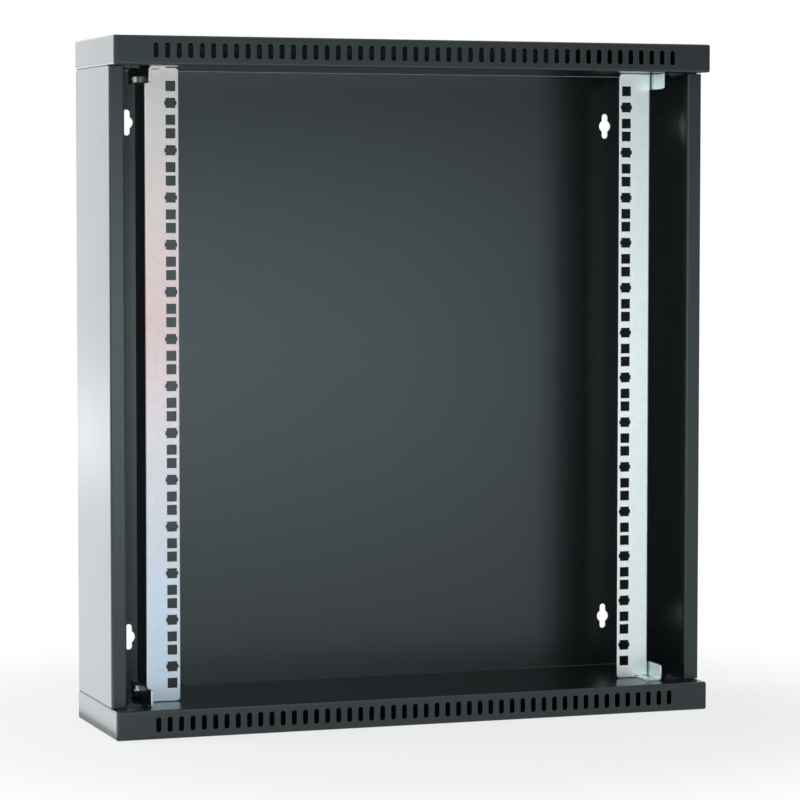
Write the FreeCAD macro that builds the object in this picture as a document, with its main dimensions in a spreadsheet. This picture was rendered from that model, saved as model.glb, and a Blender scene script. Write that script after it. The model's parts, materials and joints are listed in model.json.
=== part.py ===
# Shallow wall mount cabinet for 19-inch equipment: an open-fronted steel case with two rack rails.
#
# Frame: millimetres, +Z up. -Y is the open front, +Y is the wall side, +X is the right as seen
# from the front. The origin is the middle of the underside of the bottom cover.
# The top and bottom covers are hollow boxes folded from sheet, with a row of vent slots in front.
# Two folded side panels stand between them, a keyholed back panel closes the rear, and each rail
# is bolted to an angle bracket at either end.

import FreeCAD, Part
import os
import re

import Sketcher

SIZES = [
    ("cover_depth", 150.0, "depth of the covers, wall to front"),
    ("cover_height", 27.3, "height of each hollow cover"),
    ("cover_sheet", 1.5, "sheet thickness of the covers"),
    ("cover_bend", 2.0, "outside bend radius of the covers"),
    ("inner_height", 600.0, "clear height between the covers"),
    ("vent_count", 48, "vent slots in each cover's front"),
    ("vent_pitch", 11.05, "slot to slot distance"),
    ("vent_width", 5.0, "width of a vent slot"),
    ("vent_length", 14.2, "upright length of a vent slot, ends included"),
    ("panel_sheet", 1.5, "sheet thickness of the side panels"),
    ("panel_bend", 2.0, "outside bend radius of the side panels"),
    ("panel_inset", 0.3, "side panel's outer face inside the cover's side"),
    ("side_room", 39.4, "from a rail's outer side to the side panel's wall"),
    ("panel_setback", 20.0, "side panel's front flange behind the covers' front"),
    ("panel_seam", 0.7, "open seam between a side panel's wall and a cover"),
    ("front_flange", 15.0, "width of the side panel's front flange"),
    ("front_lip", 8.0, "depth of the lip folded back from the front flange"),
    ("rear_flange", 18.0, "width of the side panel's rear flange"),
    ("tab_width", 30.0, "side panel's end tab, from the wall inwards"),
    ("tab_margin", 10.0, "end tab's distance from the front flange's face and from the rear"),
    ("tab_screw_inset", 20.7, "tab screw's centre from the side panel's wall"),
    ("tab_screw_margin", 10.0, "tab screw's centre from either end of the tab"),
    ("back_sheet", 1.5, "sheet thickness of the back panel"),
    ("back_side_gap", 1.0, "back panel's edge from the side panel's wall"),
    ("back_end_gap", 0.1, "back panel's edge from a cover"),
    ("keyhole_spacing", 500.0, "keyhole to keyhole, across and up"),
    ("keyhole_bore", 12.3, "round middle of a keyhole, which passes the screw head"),
    ("keyhole_slot", 6.4, "width of a keyhole's upper and lower slots"),
    ("keyhole_height", 25.0, "whole height of a keyhole"),
    ("rivet_count", 5, "rivets down each side of the back panel"),
    ("rivet_shank", 3.2, "rivet shank diameter"),
    ("rivet_head", 6.5, "rivet head diameter"),
    ("rivet_rise", 1.1, "rivet head height"),
    ("rivet_tail", 5.0, "diameter of a foot rivet's set tail, inside the cover"),
    ("rivet_tail_height", 1.8, "height of a foot rivet's set tail"),
    ("rivet_margin", 36.0, "first and last rivet from the covers"),
    ("rivet_inset", 10.2, "rivet centres from the side panel's outer face"),
    ("rack_units", 13, "rack units held by the rails"),
    ("unit_height", 44.45, "one rack unit"),
    ("hole_step", 15.875, "middle hole of a unit to its upper and lower hole"),
    ("hole_columns", 465.12, "left hole column to right hole column"),
    ("rail_hole", 9.5, "square rail hole"),
    ("rail_notch_width", 12.0, "middle hole of a unit across its two side notches"),
    ("rail_notch_height", 4.0, "height of the side notches"),
    ("hole_margin", 7.56, "hole column's centre from the rail's inner edge"),
    ("rail_face", 33.8, "width of a rail's front face"),
    ("rail_side", 31.0, "depth of a rail's side flange"),
    ("rail_sheet", 2.0, "sheet thickness of the rails"),
    ("rail_bend", 2.5, "outside bend radius of a rail"),
    ("rail_corner", 3.5, "rounded inner corners at a rail's ends"),
    ("rail_setback", 50.0, "rail face behind the covers' front"),
    ("rail_end_gap", 0.5, "rail's end from a cover"),
    ("bracket_sheet", 2.0, "sheet thickness of the rail brackets"),
    ("bracket_bend", 3.5, "outside bend radius of a rail bracket"),
    ("bracket_length", 75.0, "front to back length of a rail bracket"),
    ("bracket_lead", 28.0, "bracket's front end ahead of the rail's face"),
    ("bracket_leg", 15.7, "height of the bracket's upright leg"),
    ("bracket_foot", 16.0, "width of the bracket's foot"),
    ("bracket_corner", 3.0, "rounded free corners of the bracket's leg"),
    ("bracket_fit", 0.2, "bracket's leg from the rail's side flange"),
    ("foot_clearance", 0.4, "rail's notch from the bracket's foot, above and beside"),
    ("foot_length", 39.5, "front to back length of the bracket's foot, at one end of its leg"),
    ("foot_rivet_margin", 10.0, "foot rivet's centre from either end of the foot"),
    ("leg_lift", 0.6, "plain part of the bracket's leg from the cover"),
    ("bolt_shank", 6.0, "rail bolt diameter"),
    ("bolt_hole", 6.6, "rail bolt's clearance hole"),
    ("bolt_flats", 10.0, "across the flats of the rail bolt's head and nut"),
    ("bolt_head", 4.0, "height of the rail bolt's head"),
    ("bolt_nut", 5.0, "height of the rail bolt's nut"),
    ("bolt_end", 1.0, "rail bolt's end past its nut"),
    ("bolt_height", 9.6, "rail bolt's axis from a cover"),
    ("hex_crown", 0.93, "round crown of a hexagon's chamfered end, as a share of its flats"),
    ("screw_shank", 5.0, "cover screw diameter"),
    ("screw_hole", 5.5, "cover screw's clearance hole"),
    ("screw_head", 9.2, "cover screw's head diameter"),
    ("screw_rise", 2.6, "cover screw's head height"),
    ("screw_recess", 3.0, "across the flats of the cover screw's socket"),
    ("screw_socket", 1.6, "depth of the cover screw's socket"),
    ("screw_length", 10.0, "cover screw's length under its head"),
    ("weld_nut_flats", 8.0, "across the flats of the weld nuts inside the covers"),
    ("weld_nut_height", 4.0, "height of a weld nut"),
    ("thread_gap", 0.05, "radial gap between a shank and the piece it screws into"),
]

# Places that several pieces share, as expressions of the sizes.
MIDDLE = "(cover_height + inner_height / 2)"
FRONT = "(-cover_depth / 2)"
REAR = "(cover_depth / 2)"
RAIL_INNER = "(hole_columns / 2 - hole_margin)"
RAIL_OUTER = f"({RAIL_INNER} + rail_face)"
PANEL_INNER = f"({RAIL_OUTER} + side_room)"
PANEL_OUTER = f"({PANEL_INNER} + panel_sheet)"
COVER_SIDE = f"({PANEL_OUTER} + panel_inset)"
PANEL_FRONT = "(-cover_depth / 2 + panel_setback)"
BACK_FACE = "(cover_depth / 2 - panel_sheet - back_sheet)"
RAIL_FRONT = "(-cover_depth / 2 + rail_setback)"
LEG_INNER = f"({RAIL_OUTER} + bracket_fit)"
LEG_OUTER = f"({LEG_INNER} + bracket_sheet)"
LEG_FRONT = f"({RAIL_FRONT} - bracket_lead)"
LEG_REAR = f"({LEG_FRONT} + bracket_length)"
FOOT_INNER = f"({LEG_OUTER} - bracket_foot)"
BOLT_Y = f"({RAIL_FRONT} + rail_side / 2)"
TAB_OUTER = f"({PANEL_INNER} + panel_sheet / 2)"
TAB_INNER = f"({PANEL_INNER} - tab_width)"
TAB_SCREW_X = f"({PANEL_INNER} - tab_screw_inset)"
TAB_FRONT = f"({PANEL_FRONT} + tab_margin)"
TAB_REAR = f"({REAR} - tab_margin)"
FOOT_RIVET_X = f"({LEG_INNER} - bracket_foot / 2)"
RIVET_X = f"({PANEL_OUTER} - rivet_inset)"

SIDES = {"left": -1, "right": 1}
ENDS = {"bottom": -1, "top": 1}

doc = FreeCAD.newDocument("wall_cabinet")
sizes = doc.addObject("Spreadsheet::Sheet", "Sizes")
for row, (alias, number, meaning) in enumerate(SIZES, start=1):
    sizes.set("A%d" % row, alias)
    sizes.set("B%d" % row, str(number))
    sizes.setAlias("B%d" % row, alias)
    sizes.set("C%d" % row, meaning)
doc.recompute()

ALIASES = {alias for alias, number, meaning in SIZES}


def bound(text):
    """The expression with each size's alias written as the sheet's own."""

    def owned(word):
        return "Sizes." + word.group() if word.group() in ALIASES else word.group()

    return re.sub(r"[a-z_]+", owned, text)


def value(text):
    """The expression's value, in millimetres."""
    return float(sizes.evalExpression(bound(text)))


def cover_face(end):
    """Height of the inner face of the cover at this end."""
    return f"({MIDDLE} + ({end}) * inner_height / 2)"


class SheetPiece:
    """A PartDesign body made of sketched outlines."""

    def __init__(self, node):
        self.body = doc.addObject("PartDesign::Body", node)
        self.body.Label = node

    def sketch(self, plane, offset):
        """A sketch on one of the body's origin planes, moved along its normal."""
        sketch = self.body.newObject("Sketcher::SketchObject", "Sketch")
        origin_plane = next(item for item in self.body.Origin.OriginFeatures if item.Role == plane)
        sketch.AttachmentSupport = (origin_plane, [""])
        sketch.MapMode = "FlatFace"
        sketch.setExpression("AttachmentOffset.Base.z", bound(offset))
        return sketch

    def bind(self, sketch, kind, geometry, point, text):
        """Hold one coordinate of a sketch point at an expression."""
        index = sketch.addConstraint(Sketcher.Constraint(kind, -1, 1, geometry, point, value(text)))
        sketch.setExpression("Constraints[%d]" % index, bound(text))

    def outline(self, sketch, corners):
        """A closed outline whose every corner is a pair of expressions."""
        places = [FreeCAD.Vector(value(across), value(up), 0) for across, up in corners]
        first = sketch.GeometryCount
        for step, place in enumerate(places):
            following = places[(step + 1) % len(places)]
            sketch.addGeometry(Part.LineSegment(place, following), False)
        for step, (across, up) in enumerate(corners):
            following = first + (step + 1) % len(corners)
            sketch.addConstraint(Sketcher.Constraint("Coincident", first + step, 2, following, 1))
            self.bind(sketch, "DistanceX", first + step, 1, across)
            self.bind(sketch, "DistanceY", first + step, 1, up)

    def rectangle(self, sketch, left, low, right, high):
        self.outline(sketch, [(left, low), (right, low), (right, high), (left, high)])

    def circle(self, sketch, across, up, diameter):
        centre = FreeCAD.Vector(value(across), value(up), 0)
        index = sketch.addGeometry(Part.Circle(centre, FreeCAD.Vector(0, 0, 1), value(diameter) / 2), False)
        self.bind(sketch, "DistanceX", index, 3, across)
        self.bind(sketch, "DistanceY", index, 3, up)
        constraint = sketch.addConstraint(Sketcher.Constraint("Diameter", index, value(diameter)))
        sketch.setExpression("Constraints[%d]" % constraint, bound(diameter))

    def upright_slot(self, sketch, across, up, width, length):
        """A slot with round ends, long way up."""
        x, y = value(across), value(up)
        radius = value(width) / 2
        reach = value(length) / 2 - radius
        up_end = FreeCAD.Vector(x, y + reach, 0)
        low_end = FreeCAD.Vector(x, y - reach, 0)
        normal = FreeCAD.Vector(0, 0, 1)
        side = FreeCAD.Vector(radius, 0, 0)
        half_turn = 3.141592653589793
        top = sketch.addGeometry(Part.ArcOfCircle(Part.Circle(up_end, normal, radius), 0, half_turn), False)
        left = sketch.addGeometry(Part.LineSegment(up_end - side, low_end - side), False)
        low_circle = Part.Circle(low_end, normal, radius)
        bottom = sketch.addGeometry(Part.ArcOfCircle(low_circle, half_turn, 2 * half_turn), False)
        right = sketch.addGeometry(Part.LineSegment(low_end + side, up_end + side), False)
        for one, end_one, other, end_other in (
            (top, 2, left, 1), (left, 2, bottom, 1), (bottom, 2, right, 1), (right, 2, top, 1),
        ):
            sketch.addConstraint(Sketcher.Constraint("Tangent", one, end_one, other, end_other))
        sketch.addConstraint(Sketcher.Constraint("Equal", top, bottom))
        self.bind(sketch, "DistanceX", top, 3, across)
        self.bind(sketch, "DistanceX", bottom, 3, across)
        self.bind(sketch, "DistanceY", top, 3, f"{up} + ({length} - {width}) / 2")
        self.bind(sketch, "DistanceY", bottom, 3, f"{up} - ({length} - {width}) / 2")
        constraint = sketch.addConstraint(Sketcher.Constraint("Radius", top, radius))
        sketch.setExpression("Constraints[%d]" % constraint, bound(f"{width} / 2"))

    def pad(self, sketch, length):
        pad = self.body.newObject("PartDesign::Pad", "Pad")
        pad.Profile = sketch
        pad.setExpression("Length", bound(length))
        doc.recompute()
        return pad

    def pocket(self, sketch, length, reversed_way=False):
        """Cut the sketch into the body, and make sure that it takes material away."""
        volume = self.body.Shape.Volume
        pocket = self.body.newObject("PartDesign::Pocket", "Pocket")
        pocket.Profile = sketch
        pocket.Reversed = reversed_way
        pocket.setExpression("Length", bound(length))
        doc.recompute()
        if self.body.Shape.Volume > volume - 1e-3:
            raise ValueError("a pocket of %s cuts nothing" % self.body.Label)
        return pocket

    def repeat(self, features, sketch, axis, count, pitch):
        """Repeat cuts along a sketch axis."""
        pattern = self.body.newObject("PartDesign::LinearPattern", "LinearPattern")
        pattern.Originals = features
        pattern.Direction = (sketch, [axis])
        pattern.setExpression("Occurrences", bound(count))
        pattern.setExpression("Length", bound(f"({count} - 1) * {pitch}"))
        self.body.Tip = pattern
        doc.recompute()

    def round_edges(self, radius, wanted):
        """Fillet the straight edges that wanted(direction, middle) picks."""
        base = self.body.Tip
        picked = []
        for number, edge in enumerate(base.Shape.Edges, start=1):
            if edge.Curve.TypeId != "Part::GeomLine":
                continue
            direction = edge.tangentAt(edge.FirstParameter)
            if wanted(direction, edge.CenterOfMass):
                picked.append("Edge%d" % number)
        if not picked:
            raise ValueError("no edge of %s to round" % self.body.Label)
        fillet = self.body.newObject("PartDesign::Fillet", "Fillet")
        fillet.Base = (base, picked)
        fillet.setExpression("Radius", bound(radius))
        self.body.Tip = fillet
        doc.recompute()


def near(number, *texts):
    """True where the number is one of the expressions' values."""
    return any(abs(number - value(text)) < 0.01 for text in texts)


def along(direction, axis):
    return abs(abs(getattr(direction, axis)) - 1) < 1e-6


def make_cover(node, end):
    """A hollow cover: folded box, vent slots in front, screw holes in its inner wall."""
    piece = SheetPiece(node)
    floor = "0" if end < 0 else "(cover_height + inner_height)"
    plan = piece.sketch("XY_Plane", floor)
    piece.rectangle(plan, f"-{COVER_SIDE}", FRONT, COVER_SIDE, REAR)
    piece.pad(plan, "cover_height")
    piece.round_edges("cover_bend", lambda direction, middle: True)
    hollow = piece.sketch("XY_Plane", f"{floor} + cover_sheet")
    piece.rectangle(
        hollow,
        f"-({COVER_SIDE} - cover_sheet)", f"({FRONT} + cover_sheet)",
        f"({COVER_SIDE} - cover_sheet)", f"({REAR} - cover_sheet)",
    )
    piece.pocket(hollow, "cover_height - 2 * cover_sheet", reversed_way=True)

    slot = piece.sketch("XZ_Plane", "cover_depth / 2")
    first_slot = "(-(vent_count - 1) / 2 * vent_pitch)"
    piece.upright_slot(slot, first_slot, f"({floor} + cover_height / 2)", "vent_width", "vent_length")
    cut = piece.pocket(slot, "2 * cover_sheet")
    piece.repeat([cut], slot, "H_Axis", "vent_count", "vent_pitch")

    holes = piece.sketch("XY_Plane", f"{cover_face(end)} + cover_sheet")
    for side in SIDES.values():
        for across, back in tab_screw_places(side):
            piece.circle(holes, across, back, "screw_hole")
        for across, back in foot_rivet_places(side, end):
            piece.circle(holes, across, back, "rivet_shank + 2 * thread_gap")
    piece.pocket(holes, "2 * cover_sheet")


def tab_screw_places(side):
    """Centres of the screws that hold a side panel's tab to a cover."""
    return [
        (f"({side}) * {TAB_SCREW_X}", f"({TAB_FRONT} + tab_screw_margin)"),
        (f"({side}) * {TAB_SCREW_X}", f"({TAB_REAR} - tab_screw_margin)"),
    ]


def foot_ends(side, end):
    """Front and rear of a bracket's foot.

    The four brackets are one part, turned over and round, so the foot is at the front of the
    leg at the bottom right and top left, and at its rear at the other two corners.
    """
    if side * end < 0:
        return LEG_FRONT, f"({LEG_FRONT} + foot_length)"
    return f"({LEG_REAR} - foot_length)", LEG_REAR


def foot_rivet_places(side, end):
    """Centres of the rivets that hold a rail bracket's foot to a cover."""
    front, rear = foot_ends(side, end)
    across = f"({side}) * {FOOT_RIVET_X}"
    return [(across, f"({front} + foot_rivet_margin)"), (across, f"({rear} - foot_rivet_margin)")]


def rivet_heights():
    """Heights of the rivets down one side of the back panel."""
    low = "(cover_height + rivet_margin)"
    step = "((inner_height - 2 * rivet_margin) / (rivet_count - 1))"
    return [f"({low} + {number} * {step})" for number in range(round(value("rivet_count")))]


def make_side_panel(node, side):
    """A folded side: wall, front flange with its lip, rear flange, and a tab at each end."""
    piece = SheetPiece(node)
    across = [
        (PANEL_OUTER, PANEL_FRONT),
        (PANEL_OUTER, REAR),
        (f"({PANEL_OUTER} - rear_flange)", REAR),
        (f"({PANEL_OUTER} - rear_flange)", f"({REAR} - panel_sheet)"),
        (PANEL_INNER, f"({REAR} - panel_sheet)"),
        (PANEL_INNER, f"({PANEL_FRONT} + panel_sheet)"),
        (f"({PANEL_OUTER} - front_flange + panel_sheet)", f"({PANEL_FRONT} + panel_sheet)"),
        (f"({PANEL_OUTER} - front_flange + panel_sheet)", f"({PANEL_FRONT} + front_lip)"),
        (f"({PANEL_OUTER} - front_flange)", f"({PANEL_FRONT} + front_lip)"),
        (f"({PANEL_OUTER} - front_flange)", PANEL_FRONT),
    ]
    plan = piece.sketch("XY_Plane", "cover_height + panel_seam")
    piece.outline(plan, [(f"({side}) * {x}", y) for x, y in across])
    piece.pad(plan, "inner_height - 2 * panel_seam")

    def outer_bends(direction, middle):
        reach = side * middle.x
        front = near(middle.y, PANEL_FRONT) and near(reach, PANEL_OUTER, f"{PANEL_OUTER} - front_flange")
        rear = near(middle.y, REAR) and near(reach, PANEL_OUTER)
        return along(direction, "z") and (front or rear)

    def inner_bends(direction, middle):
        reach = side * middle.x
        flange_inside = f"{PANEL_OUTER} - front_flange + panel_sheet"
        front = near(middle.y, f"{PANEL_FRONT} + panel_sheet") and near(reach, PANEL_INNER, flange_inside)
        rear = near(middle.y, f"{REAR} - panel_sheet") and near(reach, PANEL_INNER)
        return along(direction, "z") and (front or rear)

    piece.round_edges("panel_bend", outer_bends)
    piece.round_edges("panel_bend - panel_sheet", inner_bends)

    for end in ENDS.values():
        low = cover_face(end) if end < 0 else f"({cover_face(end)} - panel_sheet)"
        tab = piece.sketch("XY_Plane", low)
        corners = [
            (f"({side}) * {x}", y)
            for x, y in ((TAB_INNER, TAB_FRONT), (TAB_OUTER, TAB_FRONT), (TAB_OUTER, TAB_REAR), (TAB_INNER, TAB_REAR))
        ]
        piece.outline(tab, corners)
        piece.pad(tab, "panel_sheet")
        holes = piece.sketch("XY_Plane", f"{low} + panel_sheet")
        for across_place, back_place in tab_screw_places(side):
            piece.circle(holes, across_place, back_place, "screw_hole")
        piece.pocket(holes, "panel_sheet")

    holes = piece.sketch("XZ_Plane", f"-({REAR} - panel_sheet)")
    for height in rivet_heights():
        piece.circle(holes, f"({side}) * {RIVET_X}", height, "rivet_shank + 2 * thread_gap")
    piece.pocket(holes, "panel_sheet")


def make_back_panel(node):
    """The back sheet with its four keyholes and rivet holes."""
    piece = SheetPiece(node)
    half = f"({PANEL_INNER} - back_side_gap)"
    face = piece.sketch("XZ_Plane", f"-({REAR} - panel_sheet)")
    low = "(cover_height + back_end_gap)"
    high = "(cover_height + inner_height - back_end_gap)"
    piece.rectangle(face, f"-{half}", low, half, high)
    piece.pad(face, "back_sheet")

    front = f"-{BACK_FACE}"
    rounds = piece.sketch("XZ_Plane", front)
    slots = piece.sketch("XZ_Plane", front)
    rivets = piece.sketch("XZ_Plane", front)
    for side in SIDES.values():
        for end in ENDS.values():
            across = f"(({side}) * keyhole_spacing / 2)"
            up = f"({MIDDLE} + ({end}) * keyhole_spacing / 2)"
            piece.circle(rounds, across, up, "keyhole_bore")
            piece.upright_slot(slots, across, up, "keyhole_slot", "keyhole_height")
        for height in rivet_heights():
            piece.circle(rivets, f"({side}) * {RIVET_X}", height, "rivet_shank + 2 * thread_gap")
    for openings in (rounds, slots, rivets):
        piece.pocket(openings, "back_sheet")


def make_rail(node, side):
    """An angle-section rail with three square holes to each rack unit."""
    piece = SheetPiece(node)
    across = [
        (RAIL_INNER, RAIL_FRONT),
        (RAIL_OUTER, RAIL_FRONT),
        (RAIL_OUTER, f"({RAIL_FRONT} + rail_side)"),
        (f"({RAIL_OUTER} - rail_sheet)", f"({RAIL_FRONT} + rail_side)"),
        (f"({RAIL_OUTER} - rail_sheet)", f"({RAIL_FRONT} + rail_sheet)"),
        (RAIL_INNER, f"({RAIL_FRONT} + rail_sheet)"),
    ]
    plan = piece.sketch("XY_Plane", "cover_height + rail_end_gap")
    piece.outline(plan, [(f"({side}) * {x}", y) for x, y in across])
    piece.pad(plan, "inner_height - 2 * rail_end_gap")
    piece.round_edges(
        "rail_bend",
        lambda direction, middle: along(direction, "z") and near(middle.y, RAIL_FRONT)
        and near(side * middle.x, RAIL_OUTER),
    )
    piece.round_edges(
        "rail_bend - rail_sheet",
        lambda direction, middle: along(direction, "z") and near(middle.y, f"{RAIL_FRONT} + rail_sheet")
        and near(side * middle.x, f"{RAIL_OUTER} - rail_sheet"),
    )
    piece.round_edges(
        "rail_corner",
        lambda direction, middle: along(direction, "y") and near(side * middle.x, RAIL_INNER),
    )

    # The side flange's ends are cut away over the brackets' feet, and so is the face at the end
    # where the foot reaches in front of it.
    for end in ENDS.values():
        notch = piece.sketch("XZ_Plane", f"-({RAIL_FRONT} + rail_side)")
        inner = f"({side}) * ({FOOT_INNER} - foot_clearance)"
        outer = f"({side}) * ({RAIL_OUTER} + rail_sheet)"
        level = f"({cover_face(end)} - ({end}) * (bracket_sheet + foot_clearance))"
        beyond = f"({cover_face(end)} + ({end}) * foot_clearance)"
        piece.outline(notch, [(inner, level), (outer, level), (outer, beyond), (inner, beyond)])
        depth = "rail_side + rail_sheet" if side * end < 0 else "rail_side - rail_sheet"
        piece.pocket(notch, depth, reversed_way=True)

    front = f"-{RAIL_FRONT}"
    column = f"(({side}) * hole_columns / 2)"
    lowest = f"({MIDDLE} - (rack_units - 1) / 2 * unit_height)"
    squares = piece.sketch("XZ_Plane", front)
    for place in (-1, 0, 1):
        up = f"({lowest} + ({place}) * hole_step)"
        piece.rectangle(
            squares,
            f"({column} - rail_hole / 2)", f"({up} - rail_hole / 2)",
            f"({column} + rail_hole / 2)", f"({up} + rail_hole / 2)",
        )
    square_cut = piece.pocket(squares, "rail_sheet")
    piece.repeat([square_cut], squares, "V_Axis", "rack_units", "unit_height")
    notch = piece.sketch("XZ_Plane", front)
    piece.rectangle(
        notch,
        f"({column} - rail_notch_width / 2)", f"({lowest} - rail_notch_height / 2)",
        f"({column} + rail_notch_width / 2)", f"({lowest} + rail_notch_height / 2)",
    )
    notch_cut = piece.pocket(notch, "rail_sheet")
    piece.repeat([notch_cut], notch, "V_Axis", "rack_units", "unit_height")

    bolts = piece.sketch("YZ_Plane", f"({side}) * {RAIL_OUTER} + rail_sheet")
    for end in ENDS.values():
        piece.circle(bolts, BOLT_Y, f"({cover_face(end)} - ({end}) * bolt_height)", "bolt_hole")
    piece.pocket(bolts, "3 * rail_sheet")


def make_bracket(node, side, end):
    """An angle bracket: its short foot lies on the cover and its leg stands beside the rail."""
    piece = SheetPiece(node)
    face = cover_face(end)
    inward = f"({-end})"
    profile = [
        (FOOT_INNER, face),
        (LEG_OUTER, face),
        (LEG_OUTER, f"({face} + {inward} * bracket_leg)"),
        (LEG_INNER, f"({face} + {inward} * bracket_leg)"),
        (LEG_INNER, f"({face} + {inward} * bracket_sheet)"),
        (FOOT_INNER, f"({face} + {inward} * bracket_sheet)"),
    ]
    foot_front, foot_rear = foot_ends(side, end)
    section = piece.sketch("XZ_Plane", f"-{foot_rear}")
    piece.outline(section, [(f"({side}) * {x}", z) for x, z in profile])
    piece.pad(section, "foot_length")
    piece.round_edges(
        "bracket_bend",
        lambda direction, middle: along(direction, "y") and near(middle.z, face)
        and near(side * middle.x, LEG_OUTER),
    )
    piece.round_edges(
        "bracket_bend - bracket_sheet",
        lambda direction, middle: along(direction, "y") and near(middle.z, f"{face} + {inward} * bracket_sheet")
        and near(side * middle.x, LEG_INNER),
    )
    # The rest of the leg has no foot and stands just clear of the cover.
    plain_rear = LEG_REAR if side * end < 0 else foot_front
    plain = piece.sketch("XZ_Plane", f"-{plain_rear}")
    low = f"({face} + {inward} * leg_lift)"
    high = f"({face} + {inward} * bracket_leg)"
    corners = ((LEG_INNER, low), (LEG_OUTER, low), (LEG_OUTER, high), (LEG_INNER, high))
    piece.outline(plain, [(f"({side}) * {x}", z) for x, z in corners])
    piece.pad(plain, "bracket_length - foot_length")
    piece.round_edges(
        "bracket_corner",
        lambda direction, middle: along(direction, "x")
        and near(middle.z, f"{face} + {inward} * bracket_leg"),
    )
    bolt = piece.sketch("YZ_Plane", f"({side}) * {LEG_OUTER} + bracket_sheet")
    piece.circle(bolt, BOLT_Y, f"({face} + {inward} * bolt_height)", "bolt_hole")
    piece.pocket(bolt, "3 * bracket_sheet")
    holes = piece.sketch("XY_Plane", f"{face} + bracket_sheet")
    for across, back in foot_rivet_places(side, end):
        piece.circle(holes, across, back, "rivet_shank + 2 * thread_gap")
    piece.pocket(holes, "2 * bracket_sheet")


def place(item, x, y, z, turn=None):
    """Bind an object's place to expressions, and turn it about its own origin."""
    if turn is not None:
        item.Placement = FreeCAD.Placement(FreeCAD.Vector(0, 0, 0), turn)
    for axis, text in (("x", x), ("y", y), ("z", z)):
        item.setExpression("Placement.Base." + axis, bound(text))


def solid(kind, **dimensions):
    """A Part primitive whose dimensions are expressions."""
    item = doc.addObject(kind, kind.split("::")[1])
    for name, text in dimensions.items():
        item.setExpression(name, bound(text))
    return item


def hexagon(flats, height, below):
    """A hexagonal prism that starts below its origin plane."""
    prism = solid("Part::Prism", Circumradius=f"{flats} / sqrt(3)", Height=height)
    prism.Polygon = 6
    prism.setExpression("Placement.Base.z", bound(below))
    return prism


def rod(diameter, height, below):
    cylinder = solid("Part::Cylinder", Radius=f"({diameter}) / 2", Height=height)
    cylinder.setExpression("Placement.Base.z", bound(below))
    return cylinder


def fuse(*pieces):
    item = doc.addObject("Part::MultiFuse", "Fusion")
    item.Shapes = list(pieces)
    return item


def common(*pieces):
    item = doc.addObject("Part::MultiCommon", "Common")
    item.Shapes = list(pieces)
    return item


def chamfered_hexagon(flats, height, below, narrow_up):
    """A hexagonal prism whose corners are turned off at one end."""
    narrow = f"({flats} * hex_crown / 2)"
    wide = f"({narrow} + {height} * sqrt(3))"
    radii = (wide, narrow) if narrow_up else (narrow, wide)
    cone = solid("Part::Cone", Radius1=radii[0], Radius2=radii[1], Height=height)
    cone.setExpression("Placement.Base.z", bound(below))
    return common(hexagon(flats, height, below), cone)


def dome(diameter, rise):
    """A domed head standing on z = 0."""
    radius = f"(({diameter} ^ 2 / 4 + {rise} ^ 2) / (2 * {rise}))"
    ball = solid("Part::Sphere", Radius=radius)
    ball.setExpression("Placement.Base.z", bound(f"{rise} - {radius}"))
    return common(rod(diameter, rise, "0"), ball)


def cut(base, tool):
    item = doc.addObject("Part::Cut", "Cut")
    item.Base = base
    item.Tool = tool
    return item


def group(node, members):
    """Identical fasteners as separate solids of one node."""
    compound = doc.addObject("Part::Compound", node)
    compound.Label = node
    compound.Links = members
    return compound


def rail_bolt():
    """Hex bolt: underside of its head at z = 0, shank up."""
    length = "2 * rail_sheet + bracket_fit + bolt_nut + bolt_end"
    head = chamfered_hexagon("bolt_flats", "bolt_head", "-bolt_head", narrow_up=False)
    return fuse(head, rod("bolt_shank", length, "0"))


def rail_nut():
    """Hex nut with its seat at z = 0."""
    return cut(
        chamfered_hexagon("bolt_flats", "bolt_nut", "0", narrow_up=True),
        rod("bolt_shank + 2 * thread_gap", "3 * bolt_nut", "-bolt_nut"),
    )


def cover_screw():
    """Socket screw: underside of its head at z = 0, shank down."""
    body = fuse(dome("screw_head", "screw_rise"), rod("screw_shank", "screw_length", "-screw_length"))
    return cut(body, hexagon("screw_recess", "screw_rise", "screw_rise - screw_socket"))


def weld_nut():
    """Hex nut hanging below z = 0."""
    return cut(
        chamfered_hexagon("weld_nut_flats", "weld_nut_height", "-weld_nut_height", narrow_up=False),
        rod("screw_shank + 2 * thread_gap", "3 * weld_nut_height", "-2 * weld_nut_height"),
    )


def rivet(stack):
    """Rivet: underside of its head at z = 0, head up, shank down through the stack."""
    return fuse(dome("rivet_head", "rivet_rise"), rod("rivet_shank", stack, f"-{stack}"))


X_AXIS = FreeCAD.Vector(1, 0, 0)
Y_AXIS = FreeCAD.Vector(0, 1, 0)


def outwards(side):
    """Turn +Z to the outside of this side of the cabinet."""
    return FreeCAD.Rotation(Y_AXIS, 90 * side)


def inwards(end):
    """Turn +Z from the cover at this end to the inside of the cabinet."""
    return FreeCAD.Rotation(X_AXIS, 0 if end < 0 else 180)


def make_rail_fasteners(name, side):
    """The bolts and nuts that hold one rail to its two brackets."""
    bolts = []
    nuts = []
    for end in ENDS.values():
        height = f"({cover_face(end)} - ({end}) * bolt_height)"
        bolt = rail_bolt()
        place(bolt, f"({side}) * ({RAIL_OUTER} - rail_sheet)", BOLT_Y, height, outwards(side))
        bolts.append(bolt)
        nut = rail_nut()
        place(nut, f"({side}) * {LEG_OUTER}", BOLT_Y, height, outwards(side))
        nuts.append(nut)
    group(f"{name}_rail_bolts", bolts)
    group(f"{name}_rail_nuts", nuts)


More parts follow.
